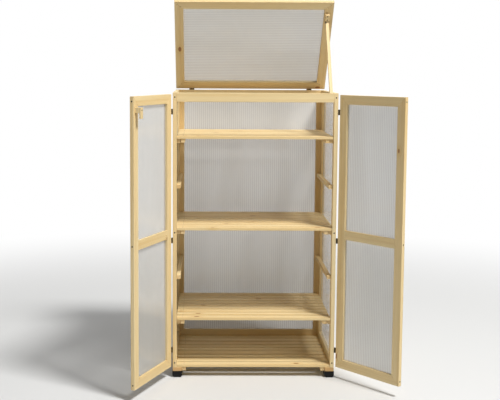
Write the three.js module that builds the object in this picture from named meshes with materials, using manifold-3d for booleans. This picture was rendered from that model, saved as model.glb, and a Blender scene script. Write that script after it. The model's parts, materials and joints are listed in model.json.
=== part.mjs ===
// A wooden mini greenhouse: a glazed cabinet on four feet, with slatted shelves on ledgers,
// two glazed doors and a glazed lid that a hinged prop holds open.
// Millimetres. +X is to the right of someone who faces the doors, +Y is to the back, +Z is up.
// It stands on the floor with the doors and the lid open, and its origin is on the floor under
// the middle of its bounding box. While it is built, y = 0 is the front of the side frames and
// x = 0 is half way between them.
import * as THREE from "three";
import { mergeVertices } from "three/addons/utils/BufferGeometryUtils.js";
import Module from "manifold-3d";

const wasm = await Module();
wasm.setup();

// Cabinet
const cabinetWidth = 760;
const cabinetHeight = 1340; // from the floor to the top of the frames
const sideDepth = 520;

// Timber of the frames, the base and the front rail
const stockWidth = 42.5;
const stockThickness = 18;
const middleRailLow = 4; // of the side and back middle rails below half the frames' height

// Fits
const jointGap = 0.3; // between two pieces that are glued, screwed or laid on each other
const fuseDepth = 1; // by which the pieces of one solid run into each other

// Twin-wall panes
const paneThickness = 4;
const paneRecess = 10; // from the inside face of a frame to its pane

// Feet
const footHeight = 30;
const footWidth = 46;
const footDepth = 46;
const footChamfer = 8;

// Ledgers on the side frames
const ledgerSection = 18;
const ledgerInset = 12; // from the front and the back of the side frame
const ledgersPerSide = 5;
const lowestLedgerRise = 226; // of its top above the base
const topLedgerDrop = 213; // of its top below the top of the frames

// Shelves
const slatThickness = 12;
const slatWidth = 46;
const slatsPerShelf = 9;
const slatEndClearance = 0.5; // between a slat's end and the side frame
const shelfInset = 4; // from the front and the back of the side frame
const battenSection = 18;
const battenClearance = 1; // between a batten and the ledger or base rail beside it
const battenInset = 4; // from the edge of the first and the last slat
const shelves = [
  { name: "lower_shelf", ledger: 0 },
  { name: "middle_shelf", ledger: 2 },
  { name: "top_shelf", ledger: 4 },
];

// Hinges
const hingeLength = 25;
const hingeGap = 3; // between a frame and the door or lid that is folded on it
const hingePinOut = 3.5; // from the edge of the frame out to the pin
const leafThickness = 1.1;
const leafWidth = 16; // from the pin
const barrelRadius = 3.3;
const barrelSides = 16;

// Doors
const doorMeetingGap = 2;
const doorBottomReveal = 4.7; // of the frames below the door
const doorTopReveal = 7.3; // of the frames above the door
const doorRailLow = 4.7; // of the middle rail below half the door's height
const doorHingeInset = 80; // from the ends of the door to the middle of a hinge
const middleHingeDrop = 34; // below the middle line of the middle rail
const leftDoorOpening = THREE.MathUtils.degToRad(113);
const rightDoorOpening = THREE.MathUtils.degToRad(129.7);

// Turn latch of the left door
const latchWidth = 20;
const latchBossHeight = 24;
const latchLipThickness = 8;
const latchLipReach = 36; // from its screw to the end of the lip
const latchDrop = 23.5; // from the front rail down to the screw
const latchClearance = 0.4; // between the lip and the back of the front rail

// Lid
const lidOpening = THREE.MathUtils.degToRad(50.9);
const lidHingeInset = 80; // from the side of the cabinet to the middle of a hinge

// Prop of the lid
const stayWidth = 14;
const stayDepth = 18;
const stayEyeRadius = 2.6;
const stayFootDrop = 9; // of the eye in its foot below the top of the frames, with the lid open
const stayTailClearance = 2; // between its foot and the back frame, with the lid closed
const stayLidClearance = 1; // between the prop and the lid it folds against
const blockSetback = 60.8; // from the front edge of the lid to the block that carries the prop
const blockLength = 35;
const blockWidth = 20;
const blockDepth = 20;
const bracketThickness = 1.5;
const bracketClearance = 0.4; // between the prop and each cheek
const bracketPinRadius = 2.1;
const bracketCheekRadius = 8;
const fittingClearance = 0.5; // between the prop's fittings and the side frame
const eyeSegments = 16;

// Worked out from the values above
const halfWidth = cabinetWidth / 2;
const sideInnerX = halfWidth - stockThickness;
const baseTop = footHeight + stockThickness;
const frameHeight = cabinetHeight - baseTop;
const backFace = sideDepth + jointGap;
const cabinetBack = backFace + stockThickness;
const frontRailBottom = cabinetHeight - stockWidth;
const middleRailHeight = (baseTop + cabinetHeight) / 2 - middleRailLow;
const lowestLedgerTop = baseTop + lowestLedgerRise;
const topLedgerTop = cabinetHeight - topLedgerDrop;
const ledgerPitch = (topLedgerTop - lowestLedgerTop) / (ledgersPerSide - 1);
const doorWidth = halfWidth - doorMeetingGap / 2;
const doorBottom = baseTop + doorBottomReveal;
const doorHeight = cabinetHeight - doorTopReveal - doorBottom;
const doorRailHeight = doorBottom + doorHeight / 2 - doorRailLow;
const mitreGap = jointGap / Math.SQRT2;
const blockDistance = cabinetBack + hingePinOut - blockSetback - blockLength; // from the pins
const blockOuterX = sideInnerX - fittingClearance;
const stayPivotDrop = stayDepth / 2 + stayLidClearance;
const stayPivotDistance =
  blockDistance - jointGap - bracketThickness - stayDepth / 2 - stayLidClearance;
const stayLength =
  stayPivotDistance - stayDepth / 2 - stayTailClearance - hingePinOut - stockThickness;

// Directions
const right = new THREE.Vector3(1, 0, 0);
const left = new THREE.Vector3(-1, 0, 0);
const back = new THREE.Vector3(0, 1, 0);
const front = new THREE.Vector3(0, -1, 0);
const up = new THREE.Vector3(0, 0, 1);
const down = new THREE.Vector3(0, 0, -1);
const quarterTurn = Math.PI / 2;

// Materials
const pine = { color: 0xe3c48d, roughness: 0.62, metalness: 0 };
const twinWall = { color: 0xb9bab2, roughness: 0.35, metalness: 0 };
const blackPlastic = { color: 0x17171a, roughness: 0.5, metalness: 0 };
const darkSteel = { color: 0x4a463f, roughness: 0.4, metalness: 0.9 };

function meshOf(name, geometry, finish) {
  const mesh = new THREE.Mesh(geometry, new THREE.MeshStandardMaterial(finish));
  mesh.name = name;
  return mesh;
}

// A box between its low and its high corner.
function boxGeometry(low, high) {
  const [width, depth, height] = high.map((value, axis) => value - low[axis]);
  const geometry = new THREE.BoxGeometry(width, depth, height);
  const [x, y, z] = high.map((value, axis) => (value + low[axis]) / 2);
  return geometry.translate(x, y, z);
}

function boxMesh(name, low, high, finish) {
  return meshOf(name, boxGeometry(low, high), finish);
}

// A flat outline in x and y, pulled out along z from low to high.
function pulled(shape, low, high) {
  const settings = { depth: high - low, bevelEnabled: false, curveSegments: eyeSegments };
  return new THREE.ExtrudeGeometry(shape, settings).translate(0, 0, low);
}

function shapeOf(points) {
  return new THREE.Shape(points.map(([x, y]) => new THREE.Vector2(x, y)));
}

function roundHole(x, radius) {
  return new THREE.Path().absarc(x, 0, radius, 0, 2 * Math.PI, true);
}

// The solid of a closed geometry, for joining.
function solidOf(geometry) {
  const bare = geometry.clone();
  bare.deleteAttribute("normal");
  bare.deleteAttribute("uv");
  const merged = mergeVertices(bare);
  const vertProperties = merged.attributes.position.array;
  const triVerts = new Uint32Array(merged.index.array);
  return new wasm.Manifold(new wasm.Mesh({ numProp: 3, vertProperties, triVerts }));
}

// One geometry made of several closed ones that run into each other.
function fused(geometries) {
  const joined = geometries.map(solidOf).reduce((sum, next) => sum.add(next));
  const { vertProperties, triVerts } = joined.getMesh();
  const geometry = new THREE.BufferGeometry();
  geometry.setAttribute("position", new THREE.BufferAttribute(vertProperties, 3));
  geometry.setIndex(new THREE.BufferAttribute(triVerts, 1));
  geometry.computeVertexNormals();
  return geometry;
}

// Turns an object so that its x runs along across and its y along upright.
function stand(object, across, upright) {
  const through = new THREE.Vector3().crossVectors(across, upright);
  object.setRotationFromMatrix(new THREE.Matrix4().makeBasis(across, upright, through));
  return object;
}

// The same pieces on the other side of x = 0.
function mirrored(...pieces) {
  const group = new THREE.Group();
  group.scale.x = -1;
  return group.add(...pieces);
}

// Frames are drawn flat: x across, y up and z through the thickness, from the inside face at 0.

// A stick along x with both ends cut to a mitre. Its outer edge is at y = 0.
function mitredStick(length) {
  const innerEnd = stockWidth + mitreGap;
  return pulled(
    shapeOf([
      [mitreGap, 0],
      [length - mitreGap, 0],
      [length - innerEnd, stockWidth],
      [innerEnd, stockWidth],
    ]),
    0,
    stockThickness,
  );
}

// Four mitred sticks, named from the bottom one round to the right, the top and the left.
function mitredFrame(width, height, names) {
  const corners = [
    [0, 0],
    [width, 0],
    [width, height],
    [0, height],
  ];
  return names.map((name, side) => {
    const stick = meshOf(name, mitredStick(side % 2 ? height : width), pine);
    stick.position.set(corners[side][0], corners[side][1], 0);
    stick.rotation.z = side * quarterTurn;
    return stick;
  });
}

// The pane of a frame, in one sheet behind the middle rail.
function paneMesh(name, width, height) {
  const edge = stockWidth + jointGap;
  return boxMesh(
    name,
    [edge, edge, paneRecess],
    [width - edge, height - edge, paneRecess + paneThickness],
    twinWall,
  );
}

// A rail across a frame at a height in that frame, on the inside of the pane.
function middleRailGeometry(width, height, end) {
  return boxGeometry(
    [end, height - stockWidth / 2, 0],
    [width - end, height + stockWidth / 2, paneRecess - jointGap],
  );
}

function middleRailMesh(name, width, height) {
  return meshOf(name, middleRailGeometry(width, height, stockWidth + jointGap), pine);
}

// A side frame, glued up into one piece with its middle rail.
function sideFrameMesh(name) {
  const ring = shapeOf([
    [0, 0],
    [sideDepth, 0],
    [sideDepth, frameHeight],
    [0, frameHeight],
  ]);
  const window = shapeOf([
    [stockWidth, stockWidth],
    [stockWidth, frameHeight - stockWidth],
    [sideDepth - stockWidth, frameHeight - stockWidth],
    [sideDepth - stockWidth, stockWidth],
  ]);
  ring.holes.push(window);
  const rail = middleRailGeometry(sideDepth, middleRailHeight - baseTop, stockWidth - fuseDepth);
  return meshOf(name, fused([pulled(ring, 0, stockThickness), rail]), pine);
}

// The right side frame with its pane, on the base.
function sideWall(side) {
  const wall = stand(new THREE.Group(), back, up);
  wall.position.set(sideInnerX, 0, baseTop + jointGap);
  wall.add(sideFrameMesh(`${side}_side_frame`));
  wall.add(paneMesh(`${side}_side_pane`, sideDepth, frameHeight));
  return wall;
}

function ledgerTop(index) {
  return lowestLedgerTop + index * ledgerPitch;
}

// The right ledgers, on the inside of the side frame.
function ledgers(side) {
  return Array.from({ length: ledgersPerSide }, (_, index) =>
    boxMesh(
      `${side}_ledger_${index + 1}`,
      [sideInnerX - jointGap - ledgerSection, ledgerInset, ledgerTop(index) - ledgerSection],
      [sideInnerX - jointGap, sideDepth - ledgerInset, ledgerTop(index)],
      pine,
    ),
  );
}

// The right base rail, a flat board from front to back under the side and back frames.
function baseRail(side) {
  return boxMesh(
    `${side}_base_rail`,
    [halfWidth - stockWidth, 0, footHeight],
    [halfWidth, cabinetBack, baseTop],
    pine,
  );
}

// A right foot with its lower corners cut off, from a given place backwards.
function foot(name, frontY) {
  const half = footWidth / 2;
  const outline = shapeOf([
    [-half + footChamfer, 0],
    [half - footChamfer, 0],
    [half, footChamfer],
    [half, footHeight - jointGap],
    [-half, footHeight - jointGap],
    [-half, footChamfer],
  ]);
  const mesh = meshOf(name, pulled(outline, -footDepth, 0), blackPlastic);
  mesh.position.set(halfWidth - stockWidth / 2, frontY, 0);
  return stand(mesh, right, up);
}

function feet(side) {
  return [foot(`front_${side}_foot`, 0), foot(`back_${side}_foot`, cabinetBack - footDepth)];
}

// The back frame and its pane, behind the side frames and as wide as the cabinet.
function backWall() {
  const wall = stand(new THREE.Group(), left, up);
  wall.position.set(halfWidth, backFace, baseTop + jointGap);
  const names = ["back_bottom_rail", "back_left_stile", "back_top_rail", "back_right_stile"];
  wall.add(...mitredFrame(cabinetWidth, frameHeight, names));
  wall.add(middleRailMesh("back_middle_rail", cabinetWidth, middleRailHeight - baseTop));
  wall.add(paneMesh("back_pane", cabinetWidth, frameHeight));
  return wall;
}

function frontRail() {
  const end = sideInnerX - jointGap;
  return boxMesh(
    "front_top_rail",
    [-end, 0, frontRailBottom],
    [end, stockThickness, cabinetHeight],
    pine,
  );
}

// A shelf whose slats lie on what is inwards of seatX and below seatZ, held by two battens.
function shelf(name, seatX, seatZ) {
  const bottom = seatZ + jointGap;
  const end = sideInnerX - slatEndClearance;
  const pitch = (sideDepth - 2 * shelfInset - slatWidth) / (slatsPerShelf - 1);
  const slats = Array.from({ length: slatsPerShelf }, (_, index) => {
    const y = shelfInset + index * pitch;
    return boxGeometry([-end, y, bottom], [end, y + slatWidth, bottom + slatThickness]);
  });
  const outer = seatX - battenClearance;
  const inner = outer - battenSection;
  const frontEnd = shelfInset + battenInset;
  const backEnd = sideDepth - frontEnd;
  const battens = [
    [inner, outer],
    [-outer, -inner],
  ].map(([low, high]) =>
    boxGeometry([low, frontEnd, bottom - battenSection], [high, backEnd, bottom + fuseDepth]),
  );
  return meshOf(name, fused([...slats, ...battens]), pine);
}

function allShelves() {
  const ledgerX = sideInnerX - jointGap - ledgerSection;
  const bottomShelf = shelf("bottom_shelf", halfWidth - stockWidth, baseTop);
  const upperShelves = shelves.map(({ name, ledger }) => shelf(name, ledgerX, ledgerTop(ledger)));
  return [bottomShelf, ...upperShelves];
}

// A hinge round its own pin, which runs along z: the barrel and the leaf on the outside of the
// fixed frame. That outside is at x = hingePinOut, and the frame starts half a hinge gap along +y.
function hinge(name) {
  const half = hingeLength / 2;
  const seat = hingePinOut - jointGap;
  const leaf = boxGeometry([seat - leafThickness, 0, -half], [seat, leafWidth, half]);
  const barrel = new THREE.CylinderGeometry(barrelRadius, barrelRadius, hingeLength, barrelSides);
  barrel.rotateX(quarterTurn);
  return meshOf(name, fused([leaf, barrel]), darkSteel);
}

// The three hinges on the outside of the left side frame.
function doorHinges(side) {
  const places = [
    ["bottom", doorBottom + doorHingeInset],
    ["middle", doorRailHeight - middleHingeDrop],
    ["top", doorBottom + doorHeight - doorHingeInset],
  ];
  return places.map(([place, z]) => {
    const mesh = hinge(`${side}_door_hinge_${place}`);
    mesh.position.set(-halfWidth - hingePinOut, -hingeGap / 2, z);
    return mesh;
  });
}

// The wooden turn latch, hanging from its screw, on the inside face of the left door.
function latch() {
  const bossHalf = latchBossHeight / 2;
  const bossDepth = hingeGap + stockThickness + latchClearance;
  const lipFace = bossDepth + latchLipThickness;
  const outline = shapeOf([
    [jointGap, -bossHalf],
    [bossDepth, -bossHalf],
    [bossDepth, -latchLipReach],
    [lipFace, -latchLipReach],
    [lipFace, bossHalf],
    [jointGap, bossHalf],
  ]);
  const mesh = meshOf("door_latch", pulled(outline, -latchWidth / 2, latchWidth / 2), pine);
  const stileMiddle = hingePinOut + doorWidth - stockWidth / 2;
  mesh.position.set(stileMiddle, -hingeGap / 2, frontRailBottom - latchDrop);
  return stand(mesh, back, up);
}

// A door, hinged on the left and turned about its pins, which stand at x = y = 0 of its group.
function door(side, opening) {
  const leaf = stand(new THREE.Group(), right, up);
  leaf.position.set(hingePinOut, -hingeGap / 2, doorBottom);
  const names = ["bottom_rail", "meeting_stile", "top_rail", "hinge_stile"];
  leaf.add(...mitredFrame(doorWidth, doorHeight, names.map((name) => `${side}_door_${name}`)));
  leaf.add(middleRailMesh(`${side}_door_middle_rail`, doorWidth, doorRailHeight - doorBottom));
  leaf.add(paneMesh(`${side}_door_pane`, doorWidth, doorHeight));
  const group = new THREE.Group().add(leaf);
  group.position.set(-halfWidth - hingePinOut, -hingeGap / 2, 0);
  group.rotation.z = -opening;
  return group;
}

// The two hinges on the back of the back frame.
function lidHinges() {
  return [
    ["left", -1],
    ["right", 1],
  ].map(([side, sign]) => {
    const mesh = stand(hinge(`lid_hinge_${side}`), front, down);
    const x = sign * (halfWidth - lidHingeInset);
    mesh.position.set(x, cabinetBack + hingePinOut, cabinetHeight + jointGap + hingeGap / 2);
    return mesh;
  });
}

// The block under the right stile of the lid that carries the prop.
function stayBlock() {
  const top = hingeGap / 2 - jointGap;
  return boxMesh(
    "lid_stay_block",
    [blockOuterX - blockWidth, -blockDistance - blockLength, top - blockDepth],
    [blockOuterX, -blockDistance, top],
    pine,
  );
}

// The metal bracket on the end of the block: a plate, two cheeks and the pin between them.
function stayBracket(pivotZ) {
  const plateFront = -blockDistance + jointGap;
  const plateBack = plateFront + bracketThickness;
  const width = stayWidth + 2 * (bracketClearance + bracketThickness);
  const inner = blockOuterX - width;
  const plate = boxGeometry(
    [inner, plateFront, pivotZ - bracketCheekRadius],
    [blockOuterX, plateBack, pivotZ + bracketCheekRadius],
  );
  const outline = new THREE.Shape();
  outline.moveTo(plateFront, -bracketCheekRadius);
  outline.absarc(-stayPivotDistance, 0, bracketCheekRadius, -quarterTurn, quarterTurn, false);
  outline.lineTo(plateFront, bracketCheekRadius);
  const pin = new THREE.CylinderGeometry(bracketPinRadius, bracketPinRadius, width, eyeSegments);
  pin.rotateZ(quarterTurn);
  pin.translate(blockOuterX - width / 2, -stayPivotDistance, pivotZ);
  const axes = new THREE.Matrix4().makeBasis(back, up, right).setPosition(0, 0, pivotZ);
  const cheeks = [
    [inner, inner + bracketThickness],
    [blockOuterX - bracketThickness, blockOuterX],
  ].map(([low, high]) => pulled(outline, low, high).applyMatrix4(axes));
  return meshOf("lid_stay_bracket", fused([plate, ...cheeks, pin]), darkSteel);
}

// The wooden prop, turned about the bracket's pin from where it lies folded under the lid.
function stay(pivotZ, fold) {
  const radius = stayDepth / 2;
  const outline = new THREE.Shape();
  outline.absarc(0, 0, radius, quarterTurn, 3 * quarterTurn, false);
  outline.absarc(stayLength, 0, radius, -quarterTurn, quarterTurn, false);
  outline.holes.push(roundHole(0, stayEyeRadius), roundHole(stayLength, stayEyeRadius));
  const high = blockOuterX - bracketThickness - bracketClearance;
  const mesh = stand(meshOf("lid_stay", pulled(outline, high - stayWidth, high), pine), back, up);
  const pivot = new THREE.Group().add(mesh);
  pivot.position.set(0, -stayPivotDistance, pivotZ);
  pivot.rotation.x = -fold;
  return pivot;
}

// How far the prop is unfolded from the lid for its foot to stand just below the frames' top.
function stayFold(pivotZ) {
  const pivotHeight =
    hingeGap / 2 +
    jointGap +
    stayPivotDistance * Math.sin(lidOpening) +
    pivotZ * Math.cos(lidOpening);
  const slope = Math.asin((pivotHeight + stayFootDrop) / stayLength);
  return Math.PI - slope - lidOpening;
}

// The lid with its prop, turned about its pins, which lie at y = z = 0 of its group.
function lid() {
  const names = ["lid_front_rail", "lid_right_stile", "lid_back_rail", "lid_left_stile"];
  const leaf = new THREE.Group();
  leaf.position.set(-halfWidth, -hingePinOut - cabinetBack, hingeGap / 2);
  leaf.add(...mitredFrame(cabinetWidth, cabinetBack, names));
  leaf.add(paneMesh("lid_pane", cabinetWidth, cabinetBack));
  const pivotZ = hingeGap / 2 - stayPivotDrop;
  const group = new THREE.Group().add(leaf, stayBlock(), stayBracket(pivotZ));
  group.add(stay(pivotZ, stayFold(pivotZ)));
  group.position.set(0, cabinetBack + hingePinOut, cabinetHeight + jointGap + hingeGap / 2);
  group.rotation.x = -lidOpening;
  return group;
}

// Everything, and then its place: the origin goes on the floor under the middle of the whole.
function assembly() {
  const group = new THREE.Group();
  group.add(sideWall("right"), ...ledgers("right"), baseRail("right"), ...feet("right"));
  group.add(mirrored(sideWall("left"), ...ledgers("left"), baseRail("left"), ...feet("left")));
  group.add(backWall(), frontRail(), ...allShelves());
  group.add(...doorHinges("left"), mirrored(...doorHinges("right")), ...lidHinges());
  const leftDoor = door("left", leftDoorOpening);
  leftDoor.add(latch());
  group.add(leftDoor, mirrored(door("right", rightDoorOpening)), lid());
  const bounds = new THREE.Box3().setFromObject(group, true);
  const middle = bounds.getCenter(new THREE.Vector3());
  group.position.set(-middle.x, -middle.y, -bounds.min.z);
  return group;
}

const greenhouse = new THREE.Group();
greenhouse.add(assembly());

export default greenhouse;
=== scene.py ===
import json
import math
import random

import bmesh
import bpy
from mathutils import Matrix, Vector


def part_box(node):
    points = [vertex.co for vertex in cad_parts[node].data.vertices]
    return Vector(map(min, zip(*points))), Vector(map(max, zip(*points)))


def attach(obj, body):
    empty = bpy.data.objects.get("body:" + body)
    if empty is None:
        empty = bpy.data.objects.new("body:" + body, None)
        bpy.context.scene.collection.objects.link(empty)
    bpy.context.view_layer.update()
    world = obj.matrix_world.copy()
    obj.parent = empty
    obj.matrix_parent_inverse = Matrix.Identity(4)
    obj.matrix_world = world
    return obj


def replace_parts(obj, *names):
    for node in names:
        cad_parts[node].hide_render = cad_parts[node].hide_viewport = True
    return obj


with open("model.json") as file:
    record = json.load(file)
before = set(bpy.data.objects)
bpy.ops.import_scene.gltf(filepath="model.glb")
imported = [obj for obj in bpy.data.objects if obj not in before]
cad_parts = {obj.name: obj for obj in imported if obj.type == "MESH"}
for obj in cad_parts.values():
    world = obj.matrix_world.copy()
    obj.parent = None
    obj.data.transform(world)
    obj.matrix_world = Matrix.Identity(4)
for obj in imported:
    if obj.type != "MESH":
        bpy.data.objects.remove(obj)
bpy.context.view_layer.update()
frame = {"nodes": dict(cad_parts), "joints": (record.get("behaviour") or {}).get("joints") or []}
nodes = frame["nodes"]


# Camera. It stands 4.6 m in front of the cabinet and a little left of its middle, at 1.47 m,
# and looks down by 6 degrees. Turn, rise and roll are in radians, the shifts in pixels.
frame_width = 500
film_width = 36.0
camera_place = Vector((-0.27737, -4.64640, 1.46977))
camera_turn = 0.0102
camera_rise = -0.1064
camera_roll = 0.0049
focal_pixels = 990.5
shift_across, shift_up = 35, -30
camera_data = bpy.data.cameras.new("camera")
camera_data.sensor_width = film_width
camera_data.lens = focal_pixels * film_width / frame_width
camera_data.shift_x = shift_across / frame_width
camera_data.shift_y = shift_up / frame_width
camera = bpy.data.objects.new("camera", camera_data)
bpy.context.scene.collection.objects.link(camera)
ahead = Vector((
    math.sin(camera_turn) * math.cos(camera_rise),
    math.cos(camera_turn) * math.cos(camera_rise),
    math.sin(camera_rise),
))
level = Vector((math.cos(camera_turn), -math.sin(camera_turn), 0))
upright = level.cross(ahead)
sideways = math.cos(camera_roll) * level + math.sin(camera_roll) * upright
upwards = math.cos(camera_roll) * upright - math.sin(camera_roll) * level
camera.matrix_world = Matrix.LocRotScale(
    camera_place,
    Matrix((sideways, upwards, -ahead)).transposed().to_quaternion(),
    None,
)
bpy.context.scene.camera = camera
bpy.context.scene.view_settings.view_transform = "Standard"


# Studio. A pale floor that takes the cabinet's shadow and fades out to white, three soft lamps,
# and a white surround, which is dimmer as a light than as a background.
def add(tree, kind, feeds=None, **settings):
    made = tree.nodes.new("ShaderNode" + kind)
    for key, value in settings.items():
        setattr(made, key, value)
    for key, value in (feeds or {}).items():
        if isinstance(value, bpy.types.NodeSocket):
            tree.links.new(value, made.inputs[key])
        else:
            made.inputs[key].default_value = value
    return made


def maths(tree, operation, *terms):
    return add(tree, "Math", dict(enumerate(terms)), operation=operation).outputs[0]


def ramp(tree, value, low, high, to_low=0.0, to_high=1.0):
    feeds = {"Value": value, "From Min": low, "From Max": high, "To Min": to_low, "To Max": to_high}
    return add(tree, "MapRange", feeds, interpolation_type="SMOOTHSTEP").outputs["Result"]


def seen_directly(tree):
    ray = add(tree, "LightPath").outputs
    glossy_or_glass = maths(tree, "MAXIMUM", ray["Is Glossy Ray"], ray["Is Transmission Ray"])
    return maths(tree, "MAXIMUM", ray["Is Camera Ray"], glossy_or_glass)


floor_reach = 60.0
fade_start, fade_end = 1.6, 4.2
floor_colour, floor_roughness = (0.70, 0.70, 0.69, 1), 0.8
surround_light = 0.14
lamps = {
    "key": ((3.25, -3.75, 8.4), 2.0, 950),
    "fill": ((-3.8, -3.2, 2.6), 3.6, 11),
    "back": ((0.3, 3.8, 3.9), 3.4, 60),
}
aim = Vector((0, 0, 0.8))

floor_mesh = bpy.data.meshes.new("floor")
corners = [(-1, -1), (1, -1), (1, 1), (-1, 1)]
floor_corners = [(x * floor_reach, y * floor_reach, 0) for x, y in corners]
floor_mesh.from_pydata(floor_corners, [], [(0, 1, 2, 3)])
floor = bpy.data.objects.new("floor", floor_mesh)
bpy.context.scene.collection.objects.link(floor)
floor_paint = bpy.data.materials.new("floor_paint")
floor_paint.use_nodes = True
tree = floor_paint.node_tree
painted = tree.nodes["Principled BSDF"]
painted.inputs["Base Color"].default_value = floor_colour
painted.inputs["Roughness"].default_value = floor_roughness
white = add(tree, "Emission", {"Color": (1, 1, 1, 1), "Strength": 1})
distance = add(
    tree, "VectorMath", {0: add(tree, "NewGeometry").outputs["Position"]}, operation="LENGTH"
).outputs["Value"]
faded = maths(tree, "MULTIPLY", ramp(tree, distance, fade_start, fade_end), seen_directly(tree))
mixed = add(tree, "MixShader", {0: faded, 1: painted.outputs[0], 2: white.outputs[0]})
tree.links.new(mixed.outputs[0], tree.nodes["Material Output"].inputs["Surface"])
floor_mesh.materials.append(floor_paint)

surround = bpy.data.worlds.new("surround")
surround.use_nodes = True
tree = surround.node_tree
seen = seen_directly(tree)
strength = add(tree, "MapRange", {"Value": seen, "To Min": surround_light, "To Max": 1})
background = tree.nodes["Background"]
background.inputs["Color"].default_value = (1, 1, 1, 1)
tree.links.new(strength.outputs["Result"], background.inputs["Strength"])
bpy.context.scene.world = surround

for name, (place, width, power) in lamps.items():
    lamp_data = bpy.data.lights.new(name, "AREA")
    lamp_data.shape = "DISK"
    lamp_data.size = width
    lamp_data.energy = power
    lamp = bpy.data.objects.new(name, lamp_data)
    lamp.location = place
    lamp.rotation_mode = "QUATERNION"
    lamp.rotation_quaternion = (aim - lamp.location).to_track_quat("-Z", "Y")
    bpy.context.scene.collection.objects.link(lamp)


# Feet. Four injection-moulded blocks of black plastic under the corners, with their lower
# corners cut off. The moulding is finely grained, and dull with dust and scuffs in patches.
weld_reach = 1e-5
flat_angle, edge_angle = math.radians(1), math.radians(25)


def round_over(piece, width, steps=2, sharper_than=edge_angle):
    eased = piece.modifiers.new("eased_edges", "BEVEL")
    eased.width = width
    eased.segments = steps
    eased.limit_method = "ANGLE"
    eased.angle_limit = sharper_than
    return eased


def ease_edges(piece, width, steps=2):
    weld = piece.modifiers.new("one_skin", "WELD")
    weld.merge_threshold = weld_reach
    flat = piece.modifiers.new("flat_faces", "DECIMATE")
    flat.decimate_type = "DISSOLVE"
    flat.angle_limit = flat_angle
    round_over(piece, width, steps).miter_outer = "MITER_ARC"


def finish_with(piece, material):
    piece.data.materials.clear()
    piece.data.materials.append(material)


def new_material(name):
    material = bpy.data.materials.new(name)
    material.use_nodes = True
    return material, material.node_tree, material.node_tree.nodes["Principled BSDF"]


def blend(tree, share, first, second):
    feeds = {0: share, 6: first, 7: second}
    return add(tree, "Mix", feeds, data_type="RGBA").outputs[2]


def patches(tree, place, scale, detail):
    feeds = {"Vector": place, "Scale": scale, "Detail": detail}
    return add(tree, "TexNoise", feeds).outputs["Fac"]


def emboss(tree, surface, height, strength, depth):
    relief = add(tree, "Bump", {"Strength": strength, "Distance": depth, "Height": height})
    tree.links.new(relief.outputs[0], surface.inputs["Normal"])


foot_edge, foot_edge_steps = 0.0015, 3
moulding_scale, scuff_scale = 900, 70
moulding_strength, moulding_depth = 0.35, 0.0002
clean_black, dusty_black = (0.007, 0.007, 0.0075, 1), (0.026, 0.026, 0.025, 1)
dust_range = (0.5, 0.72)
scuff_roughness = (0.3, 0.7, 0.38, 0.62)
plastic_shine = 0.15
black_plastic, tree, surface = new_material("black_plastic")
here = add(tree, "TexCoord").outputs["Object"]
moulded = patches(tree, here, moulding_scale, detail=3)
scuffs = patches(tree, here, scuff_scale, detail=5)
dusty = ramp(tree, scuffs, *dust_range)
tree.links.new(blend(tree, dusty, clean_black, dusty_black), surface.inputs["Base Color"])
tree.links.new(ramp(tree, scuffs, *scuff_roughness), surface.inputs["Roughness"])
surface.inputs["Specular IOR Level"].default_value = plastic_shine
emboss(tree, surface, moulded, moulding_strength, moulding_depth)
for side in ("left", "right"):
    for end in ("front", "back"):
        foot = nodes[f"{end}_{side}_foot"]
        ease_edges(foot, foot_edge, foot_edge_steps)
        finish_with(foot, black_plastic)


# Base rails. Two flat pine boards from front to back that carry the cabinet on its feet.
# All the timber is planed pine with eased edges, each board with its own rings and knots.
def new_effect(name, takes, gives):
    group = bpy.data.node_groups.new(name, "ShaderNodeTree")
    for label, kind, value in takes:
        socket = group.interface.new_socket(label, in_out="INPUT", socket_type="NodeSocket" + kind)
        if value is not None:
            socket.default_value = value
    for label, kind in gives:
        group.interface.new_socket(label, in_out="OUTPUT", socket_type="NodeSocket" + kind)
    taken = group.nodes.new("NodeGroupInput").outputs
    given = group.nodes.new("NodeGroupOutput").inputs
    return group, taken, given


def vectors(tree, operation, *terms):
    made = add(tree, "VectorMath", dict(enumerate(terms)), operation=operation)
    return made.outputs["Value" if operation in ("LENGTH", "DOT_PRODUCT") else "Vector"]


def noise(tree, place, stretch, detail):
    stretched = vectors(tree, "MULTIPLY", place, stretch)
    return add(tree, "TexNoise", {"Vector": stretched, "Scale": 1, "Detail": detail}).outputs


pine_grain, taken, given = new_effect(
    "pine_grain",
    [
        ("Board", "Vector", None),
        ("End", "Float", 0.0),
        ("Early wood", "Color", (0.86, 0.71, 0.415, 1)),
        ("Late wood", "Color", (0.65, 0.42, 0.145, 1)),
        ("Knot", "Color", (0.30, 0.115, 0.035, 1)),
        ("End wood", "Color", (0.55, 0.30, 0.105, 1)),
        ("Ring width", "Float", 0.0036),
    ],
    [("Colour", "Color"), ("Roughness", "Float"), ("Height", "Float")],
)
# Sizes are in metres, and a scale says how fast a pattern changes along and across the board. A
# range is where a change starts and where it ends, then what it gives at those two places.
pith = (0, 0.019, -0.041)
wander_scale, wander = (1.6, 7, 7), (0, 0.03, 0.03)
branches_per_metre, knot_slimness = 3.4, 0.5
knot_spread, knot_chance = 0.034, 0.2
smallest_knot, knot_growth, knot_rim = 0.0028, 0.0052, 0.0014
knot_shadow = (0.003, 0.022, 1.0, 0.0)
swell_range, swell_height = (0.0, 0.03, 1.0, 0.0), 0.011
late_rise, late_fall = (0.3, 0.9), (0.94, 1.0, 1.0, 0.0)
streak_scale, tone_scale, fibre_scale = (0.9, 75, 75), (0.5, 9, 9), (16, 900, 900)
late_strength = (0.3, 0.7, 0.25, 0.7)
dark_streaks, dark_patches = (0.5, 0.78, 0.0, 0.42), (0.33, 0.67, 0.0, 0.5)
shadow_share, knot_share, end_share = 0.5, 0.9, 0.75
fibre_shade, fibre_roughness = (0.25, 0.75, 0.93, 1.05), (0.2, 0.8, 0.5, 0.66)
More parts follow.
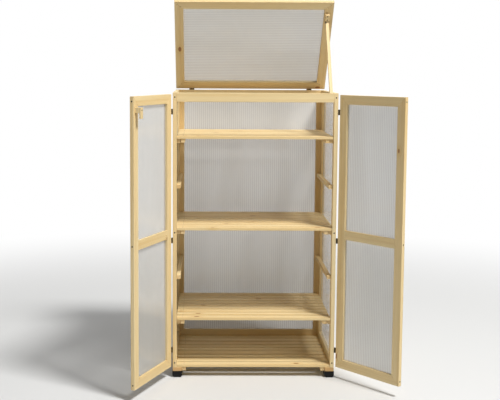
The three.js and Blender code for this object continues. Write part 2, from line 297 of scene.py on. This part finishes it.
late_relief, fibre_relief = 0.6, 0.5

board = taken["Board"]
wandering = noise(pine_grain, board, wander_scale, detail=2)["Color"]
ring_place = vectors(
    pine_grain, "ADD",
    vectors(pine_grain, "MULTIPLY", board, (0, 1, 1)),
    vectors(pine_grain, "MULTIPLY_ADD", wandering, wander, pith),
)
along, across, _ = add(pine_grain, "SeparateXYZ", {0: board}).outputs
branch = add(
    pine_grain, "TexVoronoi", {"W": along, "Scale": branches_per_metre}, voronoi_dimensions="1D"
).outputs
chance = add(pine_grain, "SeparateColor", {0: branch["Color"]}).outputs
from_branch = maths(pine_grain, "SUBTRACT", along, branch["W"])
knot_along = maths(pine_grain, "MULTIPLY", from_branch, knot_slimness)
knot_centre = maths(pine_grain, "MULTIPLY_ADD", chance[0], knot_spread, -knot_spread / 2)
knot_across = maths(pine_grain, "SUBTRACT", across, knot_centre)
knot_reach = add(pine_grain, "CombineXYZ", {0: knot_along, 1: knot_across})
absent = maths(pine_grain, "GREATER_THAN", chance[1], knot_chance)
from_knot = maths(pine_grain, "ADD", vectors(pine_grain, "LENGTH", knot_reach.outputs[0]), absent)
knot_size = maths(pine_grain, "MULTIPLY_ADD", chance[2], knot_growth, smallest_knot)
knot_edge = maths(pine_grain, "ADD", knot_size, knot_rim)
in_knot = ramp(pine_grain, from_knot, knot_size, knot_edge, 1.0, 0.0)
near_knot = ramp(pine_grain, from_knot, *knot_shadow)
swell = maths(pine_grain, "MULTIPLY", ramp(pine_grain, from_knot, *swell_range), swell_height)
ring_reach = maths(pine_grain, "ADD", vectors(pine_grain, "LENGTH", ring_place), swell)
ring = maths(pine_grain, "FRACT", maths(pine_grain, "DIVIDE", ring_reach, taken["Ring width"]))
rising, falling = ramp(pine_grain, ring, *late_rise), ramp(pine_grain, ring, *late_fall)
late = maths(pine_grain, "MULTIPLY", rising, falling)
streaks = noise(pine_grain, board, streak_scale, detail=3)["Fac"]
tone = noise(pine_grain, board, tone_scale, detail=2)["Fac"]
fibres = noise(pine_grain, board, fibre_scale, detail=2)["Fac"]
late_share = maths(pine_grain, "MULTIPLY", late, ramp(pine_grain, streaks, *late_strength))
wood = taken["Early wood"]
for share, colour in (
    (late_share, "Late wood"),
    (ramp(pine_grain, streaks, *dark_streaks), "Late wood"),
    (ramp(pine_grain, tone, *dark_patches), "Late wood"),
    (maths(pine_grain, "MULTIPLY", near_knot, shadow_share), "Late wood"),
    (maths(pine_grain, "MULTIPLY", in_knot, knot_share), "Knot"),
    (maths(pine_grain, "MULTIPLY", taken["End"], end_share), "End wood"),
):
    wood = blend(pine_grain, share, wood, taken[colour])
shade = ramp(pine_grain, fibres, *fibre_shade)
shaded = add(pine_grain, "HueSaturation", {"Value": shade, "Color": wood})
pine_grain.links.new(shaded.outputs[0], given["Colour"])
pine_grain.links.new(ramp(pine_grain, fibres, *fibre_roughness), given["Roughness"])
fibre_height = maths(pine_grain, "MULTIPLY", fibres, fibre_relief)
height = maths(pine_grain, "MULTIPLY_ADD", late, late_relief, fibre_height)
pine_grain.links.new(height, given["Height"])
grain_strength, grain_depth = 0.5, 0.0003


def dress_in_pine(tree, surface, board, end):
    grain = add(tree, "Group", node_tree=pine_grain)
    tree.links.new(board, grain.inputs["Board"])
    tree.links.new(end, grain.inputs["End"])
    tree.links.new(grain.outputs["Colour"], surface.inputs["Base Color"])
    tree.links.new(grain.outputs["Roughness"], surface.inputs["Roughness"])
    emboss(tree, surface, grain.outputs["Height"], grain_strength, grain_depth)


edge_ease = 0.0011
raw_end, sanded_end = 1.0, 0.35
end_facing = (0.8, 0.95)
log_reach, log_offset = 9, 0.005
cuts = random.Random(31)


def place_in_log():
    return Vector([cuts.uniform(-reach, reach) for reach in (log_reach, log_offset, log_offset)])


def plane_board(name, along, across, ease=edge_ease, end_tone=sanded_end):
    piece = nodes[name]
    low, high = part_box(name)
    turn = Matrix((along, across, along.cross(across)))
    material, tree, surface = new_material("pine_" + name)
    sides = add(tree, "TexCoord").outputs
    board = add(tree, "Mapping", {
        "Vector": sides["Object"],
        "Location": place_in_log() - turn @ ((low + high) / 2),
        "Rotation": turn.to_euler(),
    })
    end_on = maths(tree, "ABSOLUTE", vectors(tree, "DOT_PRODUCT", sides["Normal"], tuple(along)))
    end = ramp(tree, end_on, *end_facing, 0.0, end_tone)
    dress_in_pine(tree, surface, board.outputs[0], end)
    ease_edges(piece, ease)
    finish_with(piece, material)


right, back, up = Vector((1, 0, 0)), Vector((0, 1, 0)), Vector((0, 0, 1))
for side in ("left", "right"):
    plane_board(f"{side}_base_rail", back, right, end_tone=raw_end)


# Side frames. Five sticks each: two stiles and two rails with glued mitres, and a middle rail
# that is let in on the inside only, so that one pane runs behind it.
pine_boards, tree, surface = new_material("pine_boards")
board = add(tree, "Attribute", attribute_name="board").outputs["Vector"]
end = add(tree, "Attribute", attribute_name="end").outputs["Fac"]
dress_in_pine(tree, surface, board, end)


def lay_board(bm, centre, along, across, length, width, thickness, mitre=0.0):
    place = bm.verts.layers.float_vector["board"]
    end = bm.faces.layers.float["end"]
    log = place_in_log()
    through = along.cross(across)
    made = {}
    for x in (-1, 1):
        for y in (-1, 1):
            for z in (-1, 1):
                shorter = mitre if y > 0 else 0.0
                local = Vector((x * (length / 2 - shorter), y * width / 2, z * thickness / 2))
                vert = bm.verts.new(centre + local.x * along + local.y * across + local.z * through)
                vert[place] = local + log
                made[x, y, z] = vert
    square = [(-1, -1), (1, -1), (1, 1), (-1, 1)]
    for axis in range(3):
        for sign in (-1, 1):
            order = square if (sign > 0) != (axis == 1) else square[::-1]
            keys = [pair[:axis] + (sign,) + pair[axis:] for pair in order]
            face = bm.faces.new([made[key] for key in keys])
            face[end] = sanded_end if axis == 0 else 0.0


def new_piece(name, bm, body, material, ease=0.0, sharper_than=edge_angle):
    bmesh.ops.recalc_face_normals(bm, faces=bm.faces)
    mesh = bpy.data.meshes.new(name)
    bm.to_mesh(mesh)
    bm.free()
    piece = bpy.data.objects.new(name, mesh)
    bpy.context.scene.collection.objects.link(piece)
    finish_with(piece, material)
    if ease:
        round_over(piece, ease, sharper_than=sharper_than)
    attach(piece, body)
    return piece


def boards_piece(name, body, stands_for, cut_list, ease=edge_ease):
    bm = bmesh.new()
    bm.verts.layers.float_vector.new("board")
    bm.faces.layers.float.new("end")
    for cut in cut_list:
        lay_board(bm, *cut)
    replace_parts(new_piece(name, bm, body, pine_boards, ease), stands_for)


stick_width = 0.0425
mitre_line = 0.0002
pane_recess = 0.0097
rail_low, rail_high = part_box("back_middle_rail")
middle_rail_height = (rail_low.z + rail_high.z) / 2
for side, inwards in (("left", 1), ("right", -1)):
    low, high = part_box(f"{side}_side_frame")
    middle = (low + high) / 2
    size = high - low
    inside = high.x if inwards > 0 else low.x
    half = stick_width / 2
    sticks = []
    section = (stick_width, size.x, stick_width)
    for y, across in ((low.y + half, back), (high.y - half, -back)):
        centre = Vector((middle.x, y, middle.z))
        sticks.append((centre, up, across, size.z - mitre_line, *section))
    for z, across in ((low.z + half, up), (high.z - half, -up)):
        centre = Vector((middle.x, middle.y, z))
        sticks.append((centre, back, across, size.y - mitre_line, *section))
    centre = Vector((inside - inwards * pane_recess / 2, middle.y, middle_rail_height))
    length = size.y - 2 * stick_width - mitre_line
    sticks.append((centre, back, up, length, stick_width, pane_recess))
    boards_piece(f"{side}_side_frame_sticks", "cabinet", f"{side}_side_frame", sticks)


# Back frame and front rail. The back frame is as wide as the cabinet and screwed on behind the
# side frames, mitred like them. The front rail joins the side frames above the doors.
for name in ("back_left_stile", "back_right_stile"):
    plane_board(name, up, right)
for name in ("back_bottom_rail", "back_middle_rail", "back_top_rail", "front_top_rail"):
    plane_board(name, right, up)


# Cabinet panes. Clear twin-wall sheet, 4 mm thick and slightly milky, with a rib every 10 mm
# from top to bottom. Its grey and its solidity are set above the real sheet's, partly as painted
# shade for the shade seen through the panes. Each lies in the grooves of its frame, behind the
# middle rail.
twin_wall_sheet, taken, given = new_effect(
    "twin_wall_sheet",
    [
        ("Place", "Vector", None),
        ("Pitch", "Float", 0.0102),
        ("Clear", "Color", (0.60, 0.59, 0.555, 1)),
        ("Rib", "Color", (0.71, 0.70, 0.665, 1)),
    ],
    [("Colour", "Color"), ("Alpha", "Float"), ("Roughness", "Float"), ("Height", "Float")],
)
# Painted shade in part: the sheet's solidity and its Clear grey make it greyer and less see-through
# than the nearly clear real sheet, standing in for the shade behind the panes.
rib_edge, rib_solidity, sheet_solidity_and_painted_shade = (0.36, 0.47), 0.13, 0.44
sag_range = (0.0, 0.5)
haze_scale, haze, haze_roughness = (9, 1.1, 9), (0.3, 0.7, 0.0, 0.05), (0.3, 0.7, 0.08, 0.18)

over, _, _ = add(twin_wall_sheet, "SeparateXYZ", {0: taken["Place"]}).outputs
flute = maths(twin_wall_sheet, "FRACT", maths(twin_wall_sheet, "DIVIDE", over, taken["Pitch"]))
from_rib = maths(twin_wall_sheet, "ABSOLUTE", maths(twin_wall_sheet, "SUBTRACT", flute, 0.5))
rib = ramp(twin_wall_sheet, from_rib, *rib_edge)
sag = ramp(twin_wall_sheet, from_rib, *sag_range)
dull = noise(twin_wall_sheet, taken["Place"], haze_scale, detail=4)["Fac"]
sheet_colour = blend(twin_wall_sheet, rib, taken["Clear"], taken["Rib"])
twin_wall_sheet.links.new(sheet_colour, given["Colour"])
veil = ramp(twin_wall_sheet, dull, *haze)
solid = maths(twin_wall_sheet, "MULTIPLY_ADD", rib, rib_solidity, sheet_solidity_and_painted_shade)
twin_wall_sheet.links.new(maths(twin_wall_sheet, "ADD", solid, veil), given["Alpha"])
twin_wall_sheet.links.new(ramp(twin_wall_sheet, dull, *haze_roughness), given["Roughness"])
twin_wall_sheet.links.new(sag, given["Height"])
sag_strength, sag_depth = 0.25, 0.0004
plastic_bends_light = 1.58


def glaze(name, over, run):
    low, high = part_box(name)
    turn = Matrix((over, run, over.cross(run)))
    material, tree, surface = new_material("twin_wall_" + name)
    place = add(tree, "Mapping", {
        "Vector": add(tree, "TexCoord").outputs["Object"],
        "Location": -(turn @ ((low + high) / 2)),
        "Rotation": turn.to_euler(),
    })
    sheet = add(tree, "Group", node_tree=twin_wall_sheet)
    tree.links.new(place.outputs[0], sheet.inputs["Place"])
    tree.links.new(sheet.outputs["Colour"], surface.inputs["Base Color"])
    tree.links.new(sheet.outputs["Alpha"], surface.inputs["Alpha"])
    tree.links.new(sheet.outputs["Roughness"], surface.inputs["Roughness"])
    emboss(tree, surface, sheet.outputs["Height"], sag_strength, sag_depth)
    surface.inputs["IOR"].default_value = plastic_bends_light
    finish_with(nodes[name], material)


glaze("left_side_pane", back, up)
glaze("right_side_pane", back, up)
glaze("back_pane", right, up)


# Ledgers. Square pine sticks screwed to the inside of the side frames, five on each side, one
# every 213 mm. Their front ends stand 12 mm behind the front of the posts.
ledger_count = 5
for side in ("left", "right"):
    for number in range(1, ledger_count + 1):
        plane_board(f"{side}_ledger_{number}", back, up)


# Shelves. Nine slats each, nailed across two battens. The bottom shelf lies on the base
# rails and the others lie on their ledgers.
slat_count = 9
slat_width, slat_thickness = 0.046, 0.012
batten_section, batten_inset = 0.018, 0.004
slat_ease = 0.0010
nails_apart = 0.024
nail_places = []
between_base_rails, between_ledgers = 0.3365, 0.3427
batten_outer = {
    "bottom_shelf": between_base_rails,
    "lower_shelf": between_ledgers,
    "middle_shelf": between_ledgers,
    "top_shelf": between_ledgers,
}
for name, reach in batten_outer.items():
    low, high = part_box(name)
    middle = (low + high) / 2
    pitch = (high.y - low.y - slat_width) / (slat_count - 1)
    shelf_sticks = []
    for number in range(slat_count):
        y = low.y + slat_width / 2 + number * pitch
        centre = Vector((middle.x, y, high.z - slat_thickness / 2))
        shelf_sticks.append((centre, right, back, high.x - low.x, slat_width, slat_thickness))
    for sign in (-1, 1):
        x = middle.x + sign * (reach - batten_section / 2)
        centre = Vector((x, middle.y, high.z - slat_thickness - batten_section / 2))
        length = high.y - low.y - 2 * batten_inset
        shelf_sticks.append((centre, back, up, length, batten_section, batten_section))
        for number in range(slat_count):
            y = low.y + slat_width / 2 + number * pitch
            for nail_y in (y - nails_apart / 2, y + nails_apart / 2):
                nail_places.append(Vector((x, nail_y, high.z)))
    boards_piece(f"{name}_boards", "cabinet", name, shelf_sticks, slat_ease)


# Doors. Mitred frames of the same sticks, each with a middle rail on the inside and one pane
# that runs behind it. They stand open at rest, as far as each swing's range goes below zero.
rest_opening = {
    joint["name"]: math.radians(-joint["range_deg"][0]) for joint in frame["joints"]
}
door_along = {}
for side, turned in (("left", 1), ("right", -1)):
    opening = rest_opening[f"{side}_door_swing"]
    along = Vector((turned * math.cos(opening), -math.sin(opening), 0))
    door_along[side] = along
    for stick in ("hinge_stile", "meeting_stile"):
        plane_board(f"{side}_door_{stick}", up, along)
    for stick in ("bottom_rail", "middle_rail", "top_rail"):
        plane_board(f"{side}_door_{stick}", along, up)
    glaze(f"{side}_door_pane", along, up)


# Door hinges. Small butt hinges of blackened steel, three to a door. One leaf is screwed to the
# outside of the side frame, the other to the edge of the door, and a pin joins their knuckles.
# The screws are blacker than the hinges, which have worn brownish: part of their black is painted
# shade, for the shadow in their recesses.
wear_range = (0.3, 0.7)


def blackened(name, wear_scale, detail, bare_range, black, bare, roughness, metallic):
    material, tree, surface = new_material(name)
    here = add(tree, "TexCoord").outputs["Object"]
    worn = patches(tree, here, wear_scale, detail)
    colour = blend(tree, ramp(tree, worn, *bare_range), black, bare)
    tree.links.new(colour, surface.inputs["Base Color"])
    tree.links.new(ramp(tree, worn, *wear_range, *roughness), surface.inputs["Roughness"])
    surface.inputs["Metallic"].default_value = metallic
    return material, tree, surface, here


scratch_scale, scratch_strength, scratch_depth = (900, 900, 120), 0.3, 0.0001
dark_steel, tree, surface, here = blackened(
    "dark_steel", wear_scale=160, detail=4, bare_range=(0.5, 0.75),
    black=(0.045, 0.038, 0.03, 1), bare=(0.16, 0.14, 0.11, 1),
    roughness=(0.34, 0.55), metallic=0.85,
)
scratched = noise(tree, here, scratch_scale, detail=3)["Fac"]
emboss(tree, surface, scratched, scratch_strength, scratch_depth)
# Painted shade: the screws are darker than blackened steel alone would be, standing in for the
# shadow in their countersunk recesses.
screw_black_and_painted_shade = blackened(
    "screw_black_and_painted_shade", wear_scale=420, detail=3, bare_range=(0.5, 0.8),
    black=(0.014, 0.012, 0.01, 1), bare=(0.07, 0.062, 0.05, 1),
    roughness=(0.36, 0.5), metallic=0.45,
)[0]


def extrude_outline(bm, outline, place, low, high):
    ends = [[bm.verts.new(place @ Vector((x, y, z))) for x, y in outline] for z in (low, high)]
    bm.faces.new(ends[0][::-1])
    bm.faces.new(ends[1])
    count = len(outline)
    for start in range(count):
        after = (start + 1) % count
        bm.faces.new((ends[0][start], ends[0][after], ends[1][after], ends[1][start]))


def round_outline(radius, sides):
    turns = [2 * math.pi * step / sides for step in range(sides)]
    return [(radius * math.cos(turn), radius * math.sin(turn)) for turn in turns]


# The shape of a crosshead, as shares of the head's radius and of its height above the surface.
cross_reach, cross_half, cross_depth = 0.58, 0.13, 0.9
crown_share, rim_share = 0.8, 0.4


def screw_head(bm, place, radius, height=0.0005):
    arm, slot_half, slot_depth = radius * cross_reach, radius * cross_half, height * cross_depth
    corners = [(arm, slot_half), (slot_half, slot_half), (slot_half, arm)]
    cross = []
    for cosine, sine in ((1, 0), (0, 1), (-1, 0), (0, -1)):
        cross += [(x * cosine - y * sine, x * sine + y * cosine) for x, y in corners]
    rim = [(radius * x / math.hypot(x, y), radius * y / math.hypot(x, y)) for x, y in cross]
    crown = [(crown_share * x, crown_share * y) for x, y in rim]
    levels = (
        (rim, -height), (rim, height * rim_share), (crown, height), (cross, height),
        (cross, height - slot_depth),
    )
    loops = [[bm.verts.new(place @ Vector((x, y, z))) for x, y in points] for points, z in levels]
    bm.faces.new(loops[0][::-1])
    count = len(cross)
    for inner, outer in zip(loops[1:], loops):
        for start in range(count):
            after = (start + 1) % count
            bm.faces.new((outer[start], outer[after], inner[after], inner[start]))
    bm.faces.new(loops[-1])


def facing(place, outwards):
    turn = outwards.to_track_quat("Z", "Y").to_matrix().to_4x4()
    return Matrix.Translation(place) @ turn


hinge_length = 0.025
leaf_seat, leaf_thickness, leaf_width, leaf_corner = 0.0032, 0.0011, 0.016, 0.002
knuckle_radius, knuckle_gap, pin_radius, pin_head = 0.0033, 0.0004, 0.0016, 0.0006
hinge_screw, hinge_screw_out, hinge_screw_up = 0.0022, 0.0105, 0.0065
hinge_ease, hinge_sides, pin_sides = 0.0003, 24, 16
right_angle, leaf_corner_steps, leaf_corner_turn = 90, 4, 30
fine_angle = math.radians(35)


def hinge_half(name, place, side, stands_for, body):
    bm = bmesh.new()
    half = hinge_length / 2
    end = leaf_width - leaf_corner
    wide = half - leaf_corner
    rounded = [(0, -half)]
    for y, z, start in ((end, -wide, -right_angle), (end, wide, 0)):
        for step in range(leaf_corner_steps):
            turn = math.radians(start + step * leaf_corner_turn)
            rounded.append((y + leaf_corner * math.cos(turn), z + leaf_corner * math.sin(turn)))
    rounded.append((0, half))
    lay = Matrix(((0, 0, 1, 0), (side, 0, 0, 0), (0, 1, 0, 0), (0, 0, 0, 1)))
    extrude_outline(bm, rounded, place @ lay, leaf_seat - leaf_thickness, leaf_seat)
    sixth = hinge_length / 6
    knuckles = [(knuckle_gap - sixth, sixth - knuckle_gap)]
    if side > 0:
        knuckles = [(-half, -sixth), (sixth, half)]
    for low, high in knuckles:
        extrude_outline(bm, round_outline(knuckle_radius, hinge_sides), place, low, high)
    if side > 0:
        pin_end = half + pin_head
        extrude_outline(bm, round_outline(pin_radius, pin_sides), place, -pin_end, pin_end)
    piece = new_piece(name, bm, body, dark_steel, hinge_ease, fine_angle)
    if stands_for:
        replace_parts(piece, stands_for)
    return [
        facing(
            place @ Vector((leaf_seat - leaf_thickness, side * hinge_screw_out, up_by)),
            place.to_3x3() @ Vector((-1, 0, 0)),
        )
        for up_by in (-hinge_screw_up, hinge_screw_up)
    ]


def screws(name, body, places, radius):
    bm = bmesh.new()
    for place in places:
        screw_head(bm, place, radius)
    new_piece(name, bm, body, screw_black_and_painted_shade)


def hang_on(node, towards, fixed, opening, body):
    low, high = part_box(node)
    pin_axis = towards.cross(fixed)
    inwards = towards + fixed
    pin = (low + high) / 2
    for axis in range(3):
        if inwards[axis]:
            corner = low if inwards[axis] > 0 else high
            pin[axis] = corner[axis] + knuckle_radius * inwards[axis]
    turn = Matrix((towards, fixed, pin_axis)).transposed().to_4x4()
    place = Matrix.Translation(pin) @ turn
    opened = place @ Matrix.Rotation(-opening, 4, "Z")
    fixed_screws = hinge_half(f"{node}_fixed_leaf", place, 1, node, "cabinet")
    moving_screws = hinge_half(f"{node}_moving_leaf", opened, -1, None, body)
    return fixed_screws, moving_screws


for side, towards in (("left", right), ("right", -right)):
    fixed_screws, moving_screws = [], []
    for height in ("bottom", "middle", "top"):
        node = f"{side}_door_hinge_{height}"
        opening = rest_opening[f"{side}_door_swing"]
        fixed, moving = hang_on(node, towards, back, opening, f"{side}_door")
        fixed_screws += fixed
        moving_screws += moving
    screws(f"{side}_door_hinge_screws_fixed", "cabinet", fixed_screws, hinge_screw)
    screws(f"{side}_door_hinge_screws_moving", f"{side}_door", moving_screws, hinge_screw)


# Screws and nails. Blackened crosshead screws, driven in flush: through the stiles into the
# rails' ends, through the back frame and the ledgers into the side frames, and into the front
# rail. Part of the screws' black is painted shade, for the shadow in their recesses. Two nails hold
# each slat on each of its battens.
frame_screw, ledger_screw = 0.0034, 0.003
nail_head, nail_rise, nail_sides = 0.0015, 0.00015, 10
front_rail_screws = 0.011
ledger_screws = 0.2


def middle_of(name):
    low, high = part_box(name)
    return (low + high) / 2


cabinet_screws, ledger_heads = [], []
front_rail = middle_of("front_top_rail")
back_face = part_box("back_top_rail")[1].y
for side, outwards in (("left", -right), ("right", right)):
    low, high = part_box(f"{side}_side_frame")
    middle = (low + high) / 2
    for level in ("bottom", "middle", "top"):
        height = middle_of(f"back_{level}_rail").z
        cabinet_screws.append(facing(Vector((middle.x, low.y, height)), -back))
        cabinet_screws.append(facing(Vector((middle.x, back_face, height)), back))
    for offset in (-front_rail_screws, front_rail_screws):
        place = Vector((high.x if outwards.x > 0 else low.x, front_rail.y, front_rail.z + offset))
        cabinet_screws.append(facing(place, outwards))
    for number in range(1, ledger_count + 1):
        low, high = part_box(f"{side}_ledger_{number}")
        for share in (ledger_screws, 1 - ledger_screws):
            place = low.lerp(high, share)
            place.x = low.x if outwards.x > 0 else high.x
            place.z = (low.z + high.z) / 2
            ledger_heads.append(facing(place, -outwards))
screws("frame_screws", "cabinet", cabinet_screws, frame_screw)
screws("ledger_screws", "cabinet", ledger_heads, ledger_screw)
bm = bmesh.new()
for place in nail_places:
    outline = round_outline(nail_head, nail_sides)
    extrude_outline(bm, outline, Matrix.Translation(place), -nail_rise, nail_rise)
new_piece("shelf_nails", bm, "cabinet", dark_steel)
for side in ("left", "right"):
    edge_screws = []
    for stile, sign in (("hinge_stile", -1), ("meeting_stile", 1)):
        for level in ("bottom", "middle", "top"):
            outwards = sign * door_along[side]
            place = middle_of(f"{side}_door_{stile}") + outwards * stick_width / 2
            place.z = middle_of(f"{side}_door_{level}_rail").z
            edge_screws.append(facing(place, outwards))
    screws(f"{side}_door_screws", f"{side}_door", edge_screws, frame_screw)


# Turn latch. A block of pine on one screw, inside the left door near its top. It hangs down at
# rest and turns up behind the front rail to hold the door.
plane_board("door_latch", up, door_along["left"])
latch_joint = next(joint for joint in frame["joints"] if joint["name"] == "latch_turn")
latch_outwards = Vector(latch_joint["axis"])
latch_depth = 0.0294
latch_face = Vector(latch_joint["pos_m"]) + latch_depth * latch_outwards
screws("door_latch_screw", "latch", [facing(latch_face, latch_outwards)], frame_screw)


# Lid. A mitred frame with one pane, whose ribs run from side to side. Two steel staples hold
# each mitre on the underside, and two butt hinges carry the lid on the back of the back frame.
lid_opening = rest_opening["lid_lift"]
lid_along = Vector((0, -math.cos(lid_opening), math.sin(lid_opening)))
lid_under = right.cross(lid_along)
for name in ("lid_front_rail", "lid_back_rail"):
    plane_board(name, right, lid_along)
for name in ("lid_left_stile", "lid_right_stile"):
    plane_board(name, lid_along, right)
glaze("lid_pane", lid_along, right)

fixed_screws, moving_screws = [], []
for side in ("left", "right"):
    fixed, moving = hang_on(f"lid_hinge_{side}", -back, -up, lid_opening, "lid")
    fixed_screws += fixed
    moving_screws += moving
screws("lid_hinge_screws_fixed", "cabinet", fixed_screws, hinge_screw)
screws("lid_hinge_screws_moving", "lid", moving_screws, hinge_screw)

stock_thickness = 0.018
staple_length, staple_wire, staple_rise = 0.011, 0.0009, 0.0003
staple_ease = 0.0002
staple_shares = (0.34, 0.68)
end, half = staple_length / 2, staple_wire / 2
staple_crown = [(-end, -half), (end, -half), (end, half), (-end, half)]
bm = bmesh.new()
for rail, inwards in (("lid_front_rail", -lid_along), ("lid_back_rail", lid_along)):
    low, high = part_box(rail)
    for sign in (-1, 1):
        sideways_in = -sign * right
        lid_corner = middle_of(rail) + sign * right * (high.x - low.x) / 2
        lid_corner -= inwards * stick_width / 2
        lid_corner += lid_under * stock_thickness / 2
        run = (inwards - sideways_in).normalized()
        turn = Matrix((run, lid_under.cross(run), lid_under)).transposed().to_4x4()
        for share in staple_shares:
            centre = lid_corner + share * stick_width * (inwards + sideways_in)
            place = Matrix.Translation(centre) @ turn
            extrude_outline(bm, staple_crown, place, -staple_wire, staple_rise)
new_piece("lid_staples", bm, "lid", dark_steel, staple_ease, fine_angle)


# Prop. A block of pine under the lid carries a steel bracket, and a pine stick with rounded ends
# turns on its pin. A screw in the eye at the stick's foot holds it beside the side frame.
bracket_ease, prop_ease = 0.0003, 0.0008
plane_board("lid_stay_block", lid_along, right)
ease_edges(nodes["lid_stay_bracket"], bracket_ease)
finish_with(nodes["lid_stay_bracket"], dark_steel)
prop_along = Vector((0, -0.5229, -0.8524))
plane_board("lid_stay", prop_along, right, prop_ease)
block_depth, block_screws = 0.020, 0.0095
block_heads = [
    facing(middle_of("lid_stay_block") + lid_under * block_depth / 2 + reach * lid_along, lid_under)
    for reach in (-block_screws, block_screws)
]
screws("lid_stay_block_screws", "lid", block_heads, ledger_screw)
prop_pin = Vector((0.3066, 0.161071, 1.673399))
eye_distance = 0.4017
foot_screw, foot_screw_rise, foot_screw_tip = 0.0042, 0.0008, 0.0014
foot_shank, foot_shank_sides = 0.0023, 20
foot_eye = prop_pin + eye_distance * prop_along
low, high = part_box("lid_stay")
foot_eye.x = low.x
through_eye = facing(foot_eye, -right)
bm = bmesh.new()
screw_head(bm, through_eye, foot_screw, foot_screw_rise)
tip = low.x - high.x - foot_screw_tip
shank = round_outline(foot_shank, foot_shank_sides)
extrude_outline(bm, shank, through_eye, tip, -foot_screw_rise / 2)
new_piece("lid_stay_foot_screw", bm, "prop", dark_steel)
